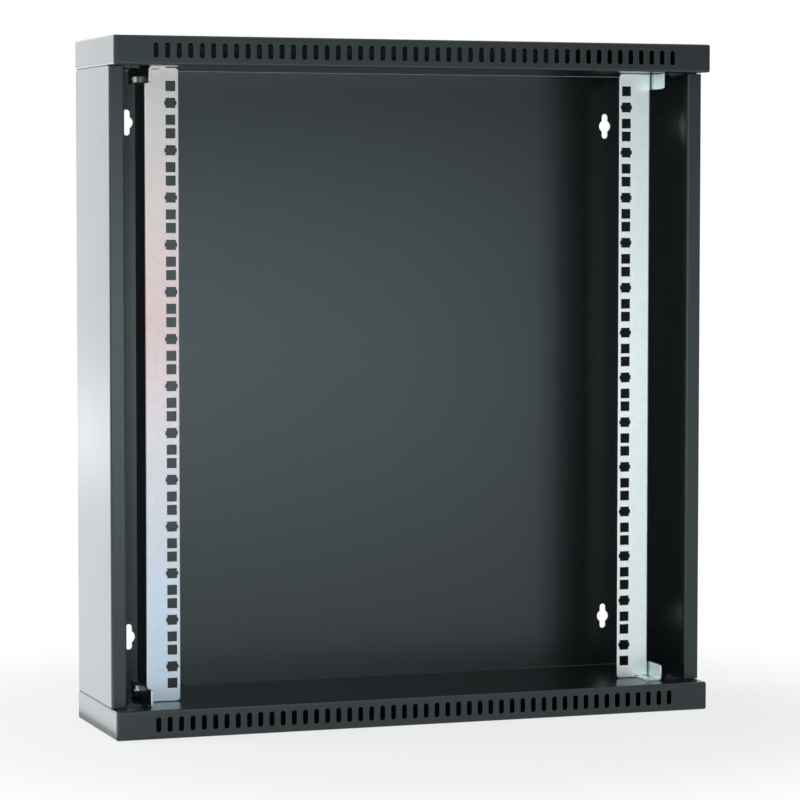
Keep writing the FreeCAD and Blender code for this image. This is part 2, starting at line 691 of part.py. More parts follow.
def make_panel_fasteners(name, side):
    """The screws and weld nuts that hold a side panel's tabs to the two covers."""
    screws = []
    nuts = []
    for end in ENDS.values():
        for across, back in tab_screw_places(side):
            screw = cover_screw()
            place(screw, across, back, f"({cover_face(end)} - ({end}) * panel_sheet)", inwards(end))
            screws.append(screw)
            nut = weld_nut()
            place(nut, across, back, f"({cover_face(end)} + ({end}) * cover_sheet)", inwards(end))
            nuts.append(nut)
    group(f"{name}_panel_screws", screws)
    group(f"{name}_panel_weld_nuts", nuts)


def make_bracket_rivets(name, side):
    """The rivets that hold the two brackets' feet on one side to the covers."""
    rivets = []
    for end in ENDS.values():
        for across, back in foot_rivet_places(side, end):
            stack = "(bracket_sheet + cover_sheet)"
            tail = rod("rivet_tail", "rivet_tail_height", f"-({stack} + rivet_tail_height)")
            item = fuse(rivet(stack), tail)
            place(item, across, back, f"({cover_face(end)} - ({end}) * bracket_sheet)", inwards(end))
            rivets.append(item)
    group(f"{name}_bracket_rivets", rivets)


def make_back_rivets(name, side):
    """The rivets that hold one edge of the back panel to the side panel's rear flange."""
    rivets = []
    for height in rivet_heights():
        item = rivet("(back_sheet + panel_sheet)")
        place(item, f"({side}) * {RIVET_X}", BACK_FACE, height, FreeCAD.Rotation(X_AXIS, 90))
        rivets.append(item)
    group(f"{name}_back_rivets", rivets)


for end_name, end in ENDS.items():
    make_cover(f"{end_name}_cover", end)
make_back_panel("back_panel")
for side_name, side in SIDES.items():
    make_side_panel(f"{side_name}_side_panel", side)
    make_rail(f"{side_name}_rail", side)
    for end_name, end in ENDS.items():
        make_bracket(f"{end_name}_{side_name}_rail_bracket", side, end)
    make_rail_fasteners(side_name, side)
    make_bracket_rivets(side_name, side)
    make_panel_fasteners(side_name, side)
    make_back_rivets(side_name, side)
doc.recompute()

for item in doc.Objects:
    if "Invalid" in item.State or "Error" in item.State:
        raise ValueError("%s failed: %s" % (item.Name, item.State))

nodes = [item for item in doc.Objects if item.TypeId in ("PartDesign::Body", "Part::Compound")]
for item in nodes:
    if item.Shape.isNull() or not item.Shape.isValid():
        raise ValueError("%s has no sound shape" % item.Label)

os.makedirs("parts", exist_ok=True)
for item in nodes:
    item.Shape.exportStep("parts/%s.step" % item.Label)
    print(item.Label, len(item.Shape.Solids), round(item.Shape.Volume))
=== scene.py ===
# %% [markdown]
# # A shallow wall cabinet for 19-inch equipment
# The cabinet is a steel case, open in front, with two zinc-plated rack rails inside. Its shapes
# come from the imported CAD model, which is loaded here as a fixed frame. This script gives every
# piece its finish, makes the small fasteners in finer detail, and sets the studio around it.
# Everything is in metres: +Z is up, -Y is the open front and +Y is the wall side.

# %% Load the frame
import json
import math

import bmesh
import bpy
from mathutils import Matrix, Vector


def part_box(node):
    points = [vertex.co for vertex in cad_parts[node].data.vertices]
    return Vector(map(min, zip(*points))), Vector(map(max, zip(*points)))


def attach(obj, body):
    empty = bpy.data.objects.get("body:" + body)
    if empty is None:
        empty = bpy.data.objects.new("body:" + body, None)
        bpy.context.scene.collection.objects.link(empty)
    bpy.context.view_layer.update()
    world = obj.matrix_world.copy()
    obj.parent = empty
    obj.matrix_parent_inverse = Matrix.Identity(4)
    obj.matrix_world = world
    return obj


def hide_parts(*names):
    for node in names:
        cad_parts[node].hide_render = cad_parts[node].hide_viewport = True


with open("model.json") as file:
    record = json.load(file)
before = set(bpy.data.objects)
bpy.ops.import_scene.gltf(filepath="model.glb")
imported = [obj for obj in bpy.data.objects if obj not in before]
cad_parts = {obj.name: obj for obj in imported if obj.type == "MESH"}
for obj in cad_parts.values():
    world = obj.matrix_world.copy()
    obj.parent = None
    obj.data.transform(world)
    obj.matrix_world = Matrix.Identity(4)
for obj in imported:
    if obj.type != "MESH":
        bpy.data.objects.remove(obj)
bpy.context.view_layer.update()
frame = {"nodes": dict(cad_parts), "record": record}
nodes = frame["nodes"]

# %% [markdown]
# ## The camera
# The cabinet is seen from the left and a little above its middle, from three metres away with a
# long lens. A long lens keeps upright edges nearly parallel, which suits a plain box. The camera
# could be aimed by a constraint at an empty object, but three angles say the same with nothing
# else in the scene. The turn about the line of sight is tiny, and keeps the long edges of the
# covers in place.

# %% Camera
CAMERA_PLACE = Vector((-1.0579, -3.0439, 0.5074))
CAMERA_YAW = -19.246
CAMERA_PITCH = -3.540
CAMERA_ROLL = 0.033
LENS = 148.97
SENSOR = 36.0
VIEW_REACH = 100.0

camera_data = bpy.data.cameras.new("camera")
camera_data.lens = LENS
camera_data.sensor_width = SENSOR
camera_data.clip_end = VIEW_REACH
camera = bpy.data.objects.new("camera", camera_data)
bpy.context.scene.collection.objects.link(camera)
turn = (
    Matrix.Rotation(math.radians(CAMERA_YAW), 4, "Z")
    @ Matrix.Rotation(math.radians(90 + CAMERA_PITCH), 4, "X")
    @ Matrix.Rotation(math.radians(CAMERA_ROLL), 4, "Z")
)
camera.matrix_world = Matrix.Translation(CAMERA_PLACE) @ turn
bpy.context.scene.camera = camera
print("camera:", round(CAMERA_PLACE.length, 2), "m from the origin,", LENS, "mm lens")

# %% [markdown]
# ## Node helpers
# Materials are built from nodes. A few short helpers keep the recipes readable: they add a node
# and fill its plain values, join sockets, do a sum, and make a shader node group with named
# sockets. Every finish below is written with them.


# %% Add and join nodes
def add_node(tree, kind, place=(0, 0), **values):
    """Add a node. Keywords set its own settings, or its inputs where it has no such setting."""
    node = tree.nodes.new(kind)
    node.location = place
    for name, value in values.items():
        if hasattr(node, name):
            setattr(node, name, value)
        else:
            node.inputs[name.replace("_", " ").title()].default_value = value
    return node


def link(tree, *pairs):
    """Join sockets: each pair is (output, input)."""
    for output, target in pairs:
        tree.links.new(output, target)


def math_node(tree, operation, first, second, place=(0, 0), clamp=False):
    """A Math node whose inputs are sockets or plain numbers."""
    node = add_node(tree, "ShaderNodeMath", place, operation=operation)
    node.use_clamp = clamp
    for index, source in enumerate((first, second)):
        if isinstance(source, bpy.types.NodeSocket):
            tree.links.new(source, node.inputs[index])
        else:
            node.inputs[index].default_value = source
    return node.outputs[0]


# %% Make and place node groups
FLOAT = "NodeSocketFloat"
VECTOR = "NodeSocketVector"


def shader_group(name, inputs, outputs):
    """A node group with named inputs (name, kind, default) and outputs (name, kind)."""
    group = bpy.data.node_groups.new(name, "ShaderNodeTree")
    for socket_name, socket_kind, default in inputs:
        socket = group.interface.new_socket(socket_name, in_out="INPUT", socket_type=socket_kind)
        socket.default_value = default
    for socket_name, socket_kind in outputs:
        group.interface.new_socket(socket_name, in_out="OUTPUT", socket_type=socket_kind)
    start = add_node(group, "NodeGroupInput", (-900, 0))
    end = add_node(group, "NodeGroupOutput", (600, 0))
    return group, start, end


def place_group(tree, group, place, **values):
    """Put a shared group into a material and set its named inputs."""
    node = add_node(tree, "ShaderNodeGroup", place, node_tree=group)
    for name, value in values.items():
        node.inputs[name.replace("_", " ").title()].default_value = value
    return node


# %% [markdown]
# ## Orange peel
# Powder coat is sprayed as dry powder and melted in an oven, where it flows into a skin with a
# fine ripple, like the peel of an orange. The ripple could be real relief, but it is only
# hundredths of a millimetre high, so a noise that bends the light is enough. It is a node group,
# because the case and the black fasteners both have it, each at its own scale.


# %% Orange peel group
def make_orange_peel():
    """Height of the fine ripple of a baked coat, and a slow cloud where the coat is thicker."""
    group, start, end = shader_group(
        "orange_peel",
        [
            ("Ripples Per Metre", FLOAT, 700.0),
            ("Grain Per Metre", FLOAT, 3500.0),
            ("Grain Share", FLOAT, 0.3),
        ],
        [("Height", FLOAT), ("Cloud", FLOAT)],
    )
    where = add_node(group, "ShaderNodeTexCoord", (-900, -200)).outputs["Object"]
    ripple = add_node(group, "ShaderNodeTexNoise", (-500, 100), detail=2.0, roughness=0.5)
    grain = add_node(group, "ShaderNodeTexNoise", (-500, -150), detail=1.0, roughness=0.6)
    cloud = add_node(
        group, "ShaderNodeTexNoise", (-500, -400), scale=7.0, detail=3.0, roughness=0.55
    )
    link(
        group,
        (where, ripple.inputs["Vector"]),
        (where, grain.inputs["Vector"]),
        (where, cloud.inputs["Vector"]),
        (start.outputs["Ripples Per Metre"], ripple.inputs["Scale"]),
        (start.outputs["Grain Per Metre"], grain.inputs["Scale"]),
    )
    share = start.outputs["Grain Share"]
    fine = math_node(group, "MULTIPLY", grain.outputs["Fac"], share, (-250, -100))
    both = math_node(group, "ADD", ripple.outputs["Fac"], fine, (0, 0))
    link(group, (both, end.inputs["Height"]), (cloud.outputs["Fac"], end.inputs["Cloud"]))
    return group


ORANGE_PEEL = make_orange_peel()
print(ORANGE_PEEL.name, "has", len(ORANGE_PEEL.nodes), "nodes")

# %% [markdown]
# ## Edge wear and painted edge highlights
# A coat draws back a little from sharp sheet edges, so edges look worn first. The same mask
# also paints a lighter edge on the case and a brighter rim on the zinc, which is a painted
# highlight where light catches an edge. The edges could be marked by hand on every piece. Here
# the group compares the true surface normal with one rounded by a Bevel node: they differ only
# near an edge, which gives a mask. A noise breaks the mask up, because wear is never even. The
# rounded normal is given out as well, so that a sharp CAD edge catches the light as a bent sheet
# does.

# %% Edge group
EDGE_STRENGTH = 8.0


def make_edge_mask():
    """Mask that is 1 along the edges, broken up by a noise, and the rounded normal."""
    group, start, end = shader_group(
        "edge_mask",
        [
            ("Width", FLOAT, 0.0008),
            ("Break Up", FLOAT, 0.6),
            ("Marks Per Metre", FLOAT, 180.0),
        ],
        [("Mask", FLOAT), ("Normal", VECTOR)],
    )
    rounded = add_node(group, "ShaderNodeBevel", (-600, 100), samples=6)
    true_normal = add_node(group, "ShaderNodeNewGeometry", (-600, -100))
    where = add_node(group, "ShaderNodeTexCoord", (-900, -300))
    marks = add_node(group, "ShaderNodeTexNoise", (-600, -300), detail=3.0, roughness=0.65)
    alike = add_node(group, "ShaderNodeVectorMath", (-350, 50), operation="DOT_PRODUCT")
    link(
        group,
        (start.outputs["Width"], rounded.inputs["Radius"]),
        (rounded.outputs["Normal"], alike.inputs[0]),
        (true_normal.outputs["Normal"], alike.inputs[1]),
        (where.outputs["Object"], marks.inputs["Vector"]),
        (start.outputs["Marks Per Metre"], marks.inputs["Scale"]),
        (rounded.outputs["Normal"], end.inputs["Normal"]),
    )
    bend = math_node(group, "SUBTRACT", 1.0, alike.outputs["Value"], (-150, 50))
    strong = math_node(group, "MULTIPLY", bend, EDGE_STRENGTH, (0, 50), clamp=True)
    share = start.outputs["Break Up"]
    loss = math_node(group, "MULTIPLY", marks.outputs["Fac"], share, (0, -200))
    left = math_node(group, "SUBTRACT", 1.0, loss, (150, -200))
    mask = math_node(group, "MULTIPLY", strong, left, (300, 0), clamp=True)
    link(group, (mask, end.inputs["Mask"]))
    return group


EDGE_MASK = make_edge_mask()
print(EDGE_MASK.name, "has", len(EDGE_MASK.nodes), "nodes")

# %% [markdown]
# ## Starting a material
# Every finish ends in one Principled BSDF, whose sockets take the colour, the roughness and the
# normal. One helper starts such a material. Two more mix two colours by a mask, and stretch a
# noise from 0..1 to the values that a finish needs.


# %% Material helpers
def new_material(name):
    """An empty material with a Principled BSDF joined to its output."""
    material = bpy.data.materials.new(name)
    material.use_nodes = True
    tree = material.node_tree
    tree.nodes.clear()
    shader = add_node(tree, "ShaderNodeBsdfPrincipled", (300, 0))
    output = add_node(tree, "ShaderNodeOutputMaterial", (600, 0))
    link(tree, (shader.outputs["BSDF"], output.inputs["Surface"]))
    return material, tree, shader


def mix_colours(tree, factor, first, second, place=(0, 0)):
    """A colour mix. The factor is a socket, and each colour is a socket or a plain colour."""
    node = add_node(tree, "ShaderNodeMix", place, data_type="RGBA")
    tree.links.new(factor, node.inputs["Factor"])
    for socket, source in ((node.inputs[6], first), (node.inputs[7], second)):
        if isinstance(source, bpy.types.NodeSocket):
            tree.links.new(source, socket)
        else:
            socket.default_value = source
    return node.outputs[2]


def stretch(tree, factor, low, high, place=(0, 0)):
    """Map 0..1 to low..high."""
    node = add_node(tree, "ShaderNodeMapRange", place, to_min=low, to_max=high)
    tree.links.new(factor, node.inputs["Value"])
    return node.outputs["Result"]


# %% [markdown]
# ## Graphite powder coat
# The case is nearly black with a satin face. The colour barely changes over a panel, so the
# light does most of the work: the ripple spreads the reflections, and the coat's thickness
# changes its gloss slightly. Sheet edges are painted a touch lighter: partly wear where the coat
# is thin, and partly a painted highlight along the edges. A single flat black would look like
# plastic, and a strong pattern would look like stone.

# %% Powder coat
COAT_DARK = (0.0115, 0.0140, 0.0150, 1)
COAT_LIGHT = (0.0140, 0.0170, 0.0180, 1)
# The edge colour is partly wear and partly a painted highlight along the sheet edges.
COAT_EDGE_WEAR_AND_HIGHLIGHT = (0.045, 0.047, 0.051, 1)
COAT_GLINT = (0.80, 0.97, 1.0, 1)
COAT_ROUGHNESS = (0.24, 0.29)
COAT_RIPPLE = 0.00006
COAT_IOR = 1.55


def make_powder_coat():
    material, tree, shader = new_material("graphite_powder_coat")
    peel = place_group(tree, ORANGE_PEEL, (-700, 0), ripples_per_metre=650.0)
    edge = place_group(tree, EDGE_MASK, (-700, -300), width=0.0006, break_up=0.7)
    shade = mix_colours(tree, peel.outputs["Cloud"], COAT_DARK, COAT_LIGHT, (-400, 200))
    # Edges get a lighter colour: partly wear, partly a painted highlight.
    edge_worn_and_highlit = mix_colours(tree, edge.outputs["Mask"], shade, COAT_EDGE_WEAR_AND_HIGHLIGHT, (-150, 200))
    rough = stretch(tree, peel.outputs["Cloud"], *COAT_ROUGHNESS, (-400, -50))
    bump = add_node(tree, "ShaderNodeBump", (0, -250), strength=0.35, distance=COAT_RIPPLE)
    link(
        tree,
        (edge_worn_and_highlit, shader.inputs["Base Color"]),
        (rough, shader.inputs["Roughness"]),
        (peel.outputs["Height"], bump.inputs["Height"]),
        (edge.outputs["Normal"], bump.inputs["Normal"]),
        (bump.outputs["Normal"], shader.inputs["Normal"]),
    )
    shader.inputs["IOR"].default_value = COAT_IOR
    shader.inputs["Specular Tint"].default_value = COAT_GLINT
    return material


POWDER_COAT = make_powder_coat()
print(POWDER_COAT.name, "roughness", COAT_ROUGHNESS)

# %% [markdown]
# ## The cast on the zinc
# The zinc has a faint cast of colour. On the left-hand strip the cast turns slowly from blue at
# the foot through pink to plain. The right-hand strip is paler and a little green. A painted
# image could show this. A colour ramp along the height does it with three colours, and a slow
# noise stirs the height, so that the casts don't lie in straight bands.

# %% Cast
# These colours give a cast that changes with height on the left-hand strip, and one tone on the
# right.
CAST_SWAY = 0.06
CAST_FOOT = (0.12, (0.445, 0.53, 0.60, 1))
CAST_MIDDLE = (0.39, (0.42, 0.333, 0.326, 1))
CAST_TOP = (0.60, (0.46, 0.465, 0.45, 1))
CAST_RIGHT = (0.69, 0.772, 0.772, 1)


def zinc_cast_by_height(tree, where, place):
    """Colour cast: by height on the left-hand strip, and one pale tone on the right."""
    x, y = place
    split = add_node(tree, "ShaderNodeSeparateXYZ", (x, y))
    stir = add_node(
        tree, "ShaderNodeTexNoise", (x, y - 200), scale=14.0, detail=4.0, roughness=0.6
    )
    link(tree, (where, split.inputs["Vector"]), (where, stir.inputs["Vector"]))
    sway = stretch(tree, stir.outputs["Fac"], -CAST_SWAY, CAST_SWAY, (x + 200, y - 200))
    height = math_node(tree, "ADD", split.outputs["Z"], sway, (x + 400, y))
    left = add_node(tree, "ShaderNodeValToRGB", (x + 600, y))
    stops = left.color_ramp.elements
    stops[0].position, stops[0].color = CAST_FOOT
    stops[1].position, stops[1].color = CAST_TOP
    stops.new(CAST_MIDDLE[0]).color = CAST_MIDDLE[1]
    tree.links.new(height, left.inputs["Fac"])
    right = math_node(tree, "GREATER_THAN", split.outputs["X"], 0.0, (x + 600, y + 200))
    return mix_colours(tree, right, left.outputs["Color"], CAST_RIGHT, (x + 900, y))


# %% [markdown]
# ## Bright zinc plate
# The rails and brackets are cut from strip that was rolled in a mill and then zinc-plated. The
# rolling leaves fine lines along the strip: a noise, squeezed along it, makes them. The zinc
# itself sets in tiny crystals, each a shade lighter or darker, which a Voronoi texture gives.
# Cut edges and hole rims are painted brighter than the faces, a painted highlight where light
# catches them. Bolts and nuts have the same plate, but no rolling lines.

# %% Zinc
# The rim colour is a painted highlight on cut edges and hole rims.
ZINC_RIM_HIGHLIGHT = (0.86, 0.89, 0.90, 1)
CRYSTAL_SHADES = (0.95, 1.03)
MILL_LINES = 0.00002


def make_zinc(name, along, roughness):
    """Zinc plate. along squeezes the mill lines, and roughness is (low, high)."""
    material, tree, shader = new_material(name)
    where = add_node(tree, "ShaderNodeTexCoord", (-1500, 0)).outputs["Object"]
    squeeze = add_node(tree, "ShaderNodeMapping", (-1100, -100), scale=along)
    lines = add_node(
        tree, "ShaderNodeTexNoise", (-900, -100), scale=900.0, detail=3.0, roughness=0.6
    )
    crystals = add_node(tree, "ShaderNodeTexVoronoi", (-900, -400), scale=260.0)
    edge = place_group(tree, EDGE_MASK, (-900, -700), width=0.0007, break_up=0.2)
    link(
        tree,
        (where, squeeze.inputs["Vector"]),
        (squeeze.outputs["Vector"], lines.inputs["Vector"]),
        (where, crystals.inputs["Vector"]),
    )
    tint = zinc_cast_by_height(tree, where, (-1300, 300))
    crystal = stretch(tree, crystals.outputs["Color"], *CRYSTAL_SHADES, (-650, -400))
    shade = add_node(tree, "ShaderNodeVectorMath", (-150, 200), operation="SCALE")
    # Edges and hole rims get a brighter colour, which is a painted highlight.
    rim_highlit = mix_colours(
        tree, edge.outputs["Mask"], shade.outputs["Vector"], ZINC_RIM_HIGHLIGHT, (50, 200)
    )
    rough = stretch(tree, lines.outputs["Fac"], *roughness, (-400, -50))
    bump = add_node(tree, "ShaderNodeBump", (0, -300), strength=0.4, distance=MILL_LINES)
    link(
        tree,
        (tint, shade.inputs[0]),
        (crystal, shade.inputs["Scale"]),
        (rim_highlit, shader.inputs["Base Color"]),
        (rough, shader.inputs["Roughness"]),
        (lines.outputs["Fac"], bump.inputs["Height"]),
        (edge.outputs["Normal"], bump.inputs["Normal"]),
        (bump.outputs["Normal"], shader.inputs["Normal"]),
    )
    shader.inputs["Metallic"].default_value = 1.0
    return material


ZINC_PLATE = make_zinc("zinc_plate", (1.0, 1.0, 0.02), (0.28, 0.36))
ZINC_FASTENER = make_zinc("zinc_fastener", (1.0, 1.0, 1.0), (0.16, 0.26))
print(ZINC_PLATE.name, "and", ZINC_FASTENER.name, "share", EDGE_MASK.name)

# %% [markdown]
# ## Black fasteners
# The back panel's rivets and the panel screws are coated black before they are fitted, and are a
# little less glossy than the case. They could wear the case's own coat, but its ripple would be
# far too coarse on a head of a few millimetres. So the same groups are placed again with finer
# values, and the edges are paler, because a driver or a setting tool has touched them.

# %% Black coat
BLACK_FACE = (0.018, 0.018, 0.019, 1)
BLACK_AT_EDGES = (0.12, 0.12, 0.125, 1)
BLACK_RIPPLE = 0.00003
BLACK_ROUGHNESS = 0.34


def make_black_coat():
    material, tree, shader = new_material("black_fastener")
    peel = place_group(tree, ORANGE_PEEL, (-700, 0), ripples_per_metre=1500.0)
    edge = place_group(tree, EDGE_MASK, (-700, -300), width=0.0003, break_up=0.5)
    shade = mix_colours(
        tree, edge.outputs["Mask"], BLACK_FACE, BLACK_AT_EDGES, (-150, 200)
    )
    bump = add_node(tree, "ShaderNodeBump", (0, -250), strength=0.3, distance=BLACK_RIPPLE)
    link(
        tree,
        (shade, shader.inputs["Base Color"]),
        (peel.outputs["Height"], bump.inputs["Height"]),
        (edge.outputs["Normal"], bump.inputs["Normal"]),
        (bump.outputs["Normal"], shader.inputs["Normal"]),
    )
    shader.inputs["Roughness"].default_value = BLACK_ROUGHNESS
    return material


BLACK_FASTENER = make_black_coat()
print(BLACK_FASTENER.name, "roughness", BLACK_ROUGHNESS)

# %% [markdown]
# ## Finishes on the CAD pieces
# The sheets, rails and brackets already have their true shape in the CAD model, with bends,
# notches, slots and holes, so they keep their meshes and only get a finish. The record names a
# material slot for every node, which saves a list of pieces here.

# %% Assign finishes
FINISHES = {
    "powder_coat": POWDER_COAT,
    "zinc_plate": ZINC_PLATE,
    "zinc_fastener": ZINC_FASTENER,
    "black_fastener": BLACK_FASTENER,
}
for part in frame["record"]["subparts"]:
    piece = nodes[part["node"]]
    piece.data.materials.clear()
    piece.data.materials.append(FINISHES[part["material_slot"]])

# %% [markdown]
# ## Fasteners in fine detail
# Bolts, nuts, screws and rivets are headed and turned on machines, so nearly all of their form
# is round about one axis. Each one here is a stack of rings from one end to the other. A ring is
# a height and a rule that gives its radius at any angle: the same all round, cut off by six
# flats, or waving with the angle to draw a thread. Cylinders cut by booleans would give the
# same forms, but lofting rings keeps every edge where the real one is, in one clean mesh.

# %% Ring rules
MM = 0.001
RING_SIDES = 48
THREAD_STEPS = 4


def round_ring(height, radius):
    """A round ring, in millimetres."""
    return height, lambda angle: radius


def hex_ring(height, flats, radius=math.inf):
    """A six-sided ring that is turned down to a radius."""
    def rule(angle):
        from_flat = (angle + math.pi / 6) % (math.pi / 3) - math.pi / 6
        return min(radius, flats / 2 / math.cos(from_flat))
    return height, rule


def thread_rings(low, high, radius, depth, pitch):
    """Rings of a screw thread: the groove moves round by one turn in each pitch."""
    rings = []
    for step in range(round((high - low) / pitch * THREAD_STEPS) + 1):
        height = low + step * pitch / THREAD_STEPS

        def rule(angle, height=height):
            phase = (height / pitch - angle / (2 * math.pi)) % 1
            return radius - depth * (1 - abs(2 * phase - 1))
        rings.append((height, rule))
    return rings


def dome_rings(head, rise, flat_radius, steps):
    """Rings of a low dome from its rim to the flat on its top."""
    ball = (head ** 2 / 4 + rise ** 2) / (2 * rise)
    rings = []
    for step in range(steps + 1):
        radius = head / 2 + (flat_radius - head / 2) * step / steps
        rings.append(round_ring(rise - ball + math.sqrt(ball ** 2 - radius ** 2), radius))
    return rings


# %% Ring loft
def loft(name, rings, bored=False):
    """A closed mesh through rings. A bored one joins its last ring to its first."""
    mesh = bmesh.new()
    angles = [2 * math.pi * side / RING_SIDES for side in range(RING_SIDES)]
    loops = []
    for height, rule in rings:
        loops.append([
            mesh.verts.new((rule(a) * math.cos(a) * MM, rule(a) * math.sin(a) * MM, height * MM))
            for a in angles
        ])
    pairs = list(zip(loops, loops[1:]))
    if bored:
        pairs.append((loops[-1], loops[0]))
    for lower, upper in pairs:
        for side in range(RING_SIDES):
            after = (side + 1) % RING_SIDES
            mesh.faces.new((lower[side], lower[after], upper[after], upper[side]))
    if not bored:
        for loop, height in ((loops[0], rings[0][0]), (loops[-1], rings[-1][0])):
            centre = mesh.verts.new((0, 0, height * MM))
            for side in range(RING_SIDES):
                mesh.faces.new((loop[side], loop[(side + 1) % RING_SIDES], centre))
    bmesh.ops.recalc_face_normals(mesh, faces=mesh.faces)
    data = bpy.data.meshes.new(name)
    mesh.to_mesh(data)
    mesh.free()
    print(name, len(data.polygons), "faces")
    return data


# %% [markdown]
# ## Rail bolt and nut
# The rails hang on M6 bolts with a coarse thread. A bolt's head is slightly dished, its corners
# are turned off, and a thin washer face stands under it. The nut has its corners turned off on
# both faces, and its bore opens a little at each end. A plain hexagon would do from far away,
# but the turned corners are what catches the light. Sizes are in millimetres. A bolt's heights
# count from the seat under its head, with the head below it.

# %% Bolt and nut forms
BOLT_FLATS, BOLT_HEAD, BOLT_LENGTH, BOLT_RADIUS = 10.0, 4.0, 10.2, 3.0
THREAD_START, THREAD_DEPTH, THREAD_PITCH = 1.0, 0.45, 1.0
POINT_LENGTH, POINT_RADIUS = 0.7, 2.3
DISH_DEPTH, DISH_RADIUS, DISH_RIM = 0.25, 3.3, 3.9
CORNER_RADIUS, CORNER_MIDDLE_RADIUS = 4.65, 5.2
CORNER_MIDDLE, CORNER_END = 0.3, 0.64
WASHER_FACE, WASHER_RADIUS, UNDER_RADIUS, UNDER_CORNER = 0.3, 4.7, 4.85, 0.45
NUT_HEIGHT, BORE_RADIUS, BORE_OPENING = 5.0, 3.05, 0.4


def hex_bolt():
    top = -BOLT_HEAD
    head = [
        round_ring(top + DISH_DEPTH, DISH_RADIUS),
        round_ring(top, DISH_RIM),
        hex_ring(top, BOLT_FLATS, CORNER_RADIUS),
        hex_ring(top + CORNER_MIDDLE, BOLT_FLATS, CORNER_MIDDLE_RADIUS),
        hex_ring(top + CORNER_END, BOLT_FLATS),
        hex_ring(-UNDER_CORNER, BOLT_FLATS),
        hex_ring(-WASHER_FACE, BOLT_FLATS, UNDER_RADIUS),
        round_ring(-WASHER_FACE, WASHER_RADIUS),
        round_ring(0, WASHER_RADIUS),
        round_ring(0, BOLT_RADIUS),
    ]
    end = BOLT_LENGTH - POINT_LENGTH
    thread = thread_rings(THREAD_START, end, BOLT_RADIUS, THREAD_DEPTH, THREAD_PITCH)
    return loft("hex_bolt", head + thread + [round_ring(BOLT_LENGTH, POINT_RADIUS)])


def hex_nut():
    outside = [
        round_ring(0, BORE_RADIUS + BORE_OPENING),
        round_ring(0, CORNER_RADIUS),
        hex_ring(CORNER_MIDDLE, BOLT_FLATS, CORNER_MIDDLE_RADIUS),
        hex_ring(CORNER_END, BOLT_FLATS),
        hex_ring(NUT_HEIGHT - CORNER_END, BOLT_FLATS),
        hex_ring(NUT_HEIGHT - CORNER_MIDDLE, BOLT_FLATS, CORNER_MIDDLE_RADIUS),
        round_ring(NUT_HEIGHT, CORNER_RADIUS),
        round_ring(NUT_HEIGHT, BORE_RADIUS + BORE_OPENING),
    ]
    bore = [
        round_ring(NUT_HEIGHT - BORE_OPENING, BORE_RADIUS),
        round_ring(BORE_OPENING, BORE_RADIUS),
    ]
    return loft("hex_nut", outside + bore, bored=True)


HEX_BOLT = hex_bolt()
HEX_NUT = hex_nut()

# %% [markdown]
# ## Panel screw
# The side panels are held by M5 screws with a low dome and a six-sided socket for a key. Its
# heights count from the seat under the head, with the shank below. The dome is part of a ball,
# and ends in a flat round the socket. The socket could be cut out afterwards, but here the loft
# just turns inwards at the flat and goes on down, so the mesh stays closed.

# %% Screw form
SCREW_HEAD, SCREW_RISE, SCREW_LENGTH, SCREW_RADIUS = 9.2, 2.6, 10.0, 2.5
SCREW_THREAD_DEPTH, SCREW_PITCH, SCREW_POINT, SCREW_POINT_RADIUS = 0.4, 0.8, 0.6, 1.9
SCREW_NECK, HEAD_UNDERCUT = 0.4, 0.2
SCREW_FLAT, SOCKET_MOUTH, SOCKET_LEAD = 2.1, 1.85, 0.12
SOCKET_FLATS, SOCKET_DEPTH, SOCKET_CONE, SOCKET_CONE_RADIUS = 3.0, 1.6, 0.35, 0.3


def socket_screw():
    low, high = -SCREW_LENGTH + SCREW_POINT, -2 * SCREW_NECK
    shank = [round_ring(-SCREW_LENGTH, SCREW_POINT_RADIUS)]
    shank += thread_rings(low, high, SCREW_RADIUS, SCREW_THREAD_DEPTH, SCREW_PITCH)
    shank += [
        round_ring(-SCREW_NECK, SCREW_RADIUS),
        round_ring(0, SCREW_RADIUS),
        round_ring(0, SCREW_HEAD / 2 - HEAD_UNDERCUT),
    ]
    head = dome_rings(SCREW_HEAD, SCREW_RISE, SCREW_FLAT, steps=7)
    top = head[-1][0]
    socket = [
        round_ring(top, SOCKET_MOUTH),
        hex_ring(top - SOCKET_LEAD, SOCKET_FLATS),
        hex_ring(top - SOCKET_DEPTH, SOCKET_FLATS),
        round_ring(top - SOCKET_DEPTH - SOCKET_CONE, SOCKET_CONE_RADIUS),
    ]
    return loft("socket_screw", shank + head + socket)


SOCKET_SCREW = socket_screw()

# %% [markdown]
# ## Rivets
# The brackets and the back panel are held by blind rivets. They are set from one side: a pin
# pulls their tail into a bulge behind the sheets and breaks off, and its stub stays in the
# middle of the head. A smooth dome would look like a solid rivet, so a few more rings draw the
# pin. The ones in the brackets' feet have their whole tail. The ones in the back panel end flush
# with its flange, as the CAD model has them.

# %% Rivet forms
RIVET_HEAD, RIVET_RISE, RIVET_RADIUS, RIVET_FLAT = 6.5, 1.1, 1.6, 1.15
RIVET_UNDERCUT, RIVET_CHAMFER = 0.1, 0.1
MOUTH_DEPTH, MOUTH_RADIUS = 0.05, 0.95
HOLE_DEPTH, HOLE_RADIUS = 0.5, 0.88
PIN_TOP, PIN_TOP_RADIUS, PIN_RADIUS = 0.22, 0.7, 0.8
BACK_STACK, FOOT_STACK = 3.0, 3.5
# The bulge of a set tail: how far behind the sheets, and the radius there.
TAIL_PROFILE = [(1.8, 1.2), (1.5, 2.1), (0.9, 2.5), (0.3, 2.3), (0.0, 2.1), (0.0, RIVET_RADIUS)]
TAIL_HEIGHT = TAIL_PROFILE[0][0]


